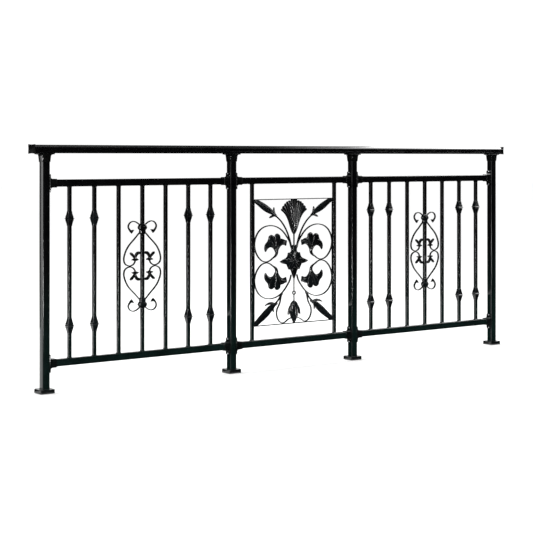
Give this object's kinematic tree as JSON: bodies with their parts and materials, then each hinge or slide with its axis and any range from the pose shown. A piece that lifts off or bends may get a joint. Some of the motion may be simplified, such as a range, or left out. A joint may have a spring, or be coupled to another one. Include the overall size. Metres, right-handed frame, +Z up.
{
  "type": "balcony railing",
  "caption": "Wrought iron style balcony railing: square posts on feet, two rails, a crowned handrail, knuckled bars, heart scrolls and a framed flower panel.",
  "frame": {"origin": "centre of the underside of the left end foot, at floor level", "axes": "+X along the railing to the right, -Y to the front, +Z up"},
  "size_m": [2.914, 0.07, 1.102],
  "materials": {
    "bar_coat": "black powder coat, semi-gloss",
    "fitting_coat": "black powder coat on cast fittings, semi-gloss",
    "cast_iron_coat": "black powder coat on cast ornament, slightly grained",
    "screw_steel": "bright zinc-plated screw heads"
  },
  "bodies": {
    "root": {"left_end_post": "bar_coat", "left_inner_post": "bar_coat", "right_inner_post": "bar_coat", "right_end_post": "bar_coat", "left_end_foot": "fitting_coat", "left_inner_foot": "fitting_coat", "right_inner_foot": "fitting_coat", "right_end_foot": "fitting_coat", "left_end_head_bracket": "fitting_coat", "left_inner_head_bracket": "fitting_coat", "right_inner_head_bracket": "fitting_coat", "right_end_head_bracket": "fitting_coat", "handrail": "bar_coat", "left_handrail_cap": "fitting_coat", "right_handrail_cap": "fitting_coat", "left_upper_rail": "bar_coat", "middle_upper_rail": "bar_coat", "right_upper_rail": "bar_coat", "left_lower_rail": "bar_coat", "middle_lower_rail": "bar_coat", "right_lower_rail": "bar_coat", "left_bay_sockets": "fitting_coat", "middle_bay_sockets": "fitting_coat", "right_bay_sockets": "fitting_coat", "fixing_screws": "screw_steel", "left_knuckled_bars": "bar_coat", "left_plain_bars": "bar_coat", "left_scroll_bar": "bar_coat", "right_knuckled_bars": "bar_coat", "right_plain_bars": "bar_coat", "right_scroll_bar": "bar_coat", "panel_uprights": "bar_coat", "left_knuckles": "cast_iron_coat", "right_knuckles": "cast_iron_coat", "left_heart_scroll": "bar_coat", "right_heart_scroll": "bar_coat", "left_scroll_collars": "cast_iron_coat", "right_scroll_collars": "cast_iron_coat", "panel_frame": "bar_coat", "panel_scrolls": "bar_coat", "palmette": "cast_iron_coat", "rosette": "cast_iron_coat", "lily_flowers": "cast_iron_coat", "corner_buds": "cast_iron_coat", "bottom_bud": "cast_iron_coat"}
  },
  "joints": []
}
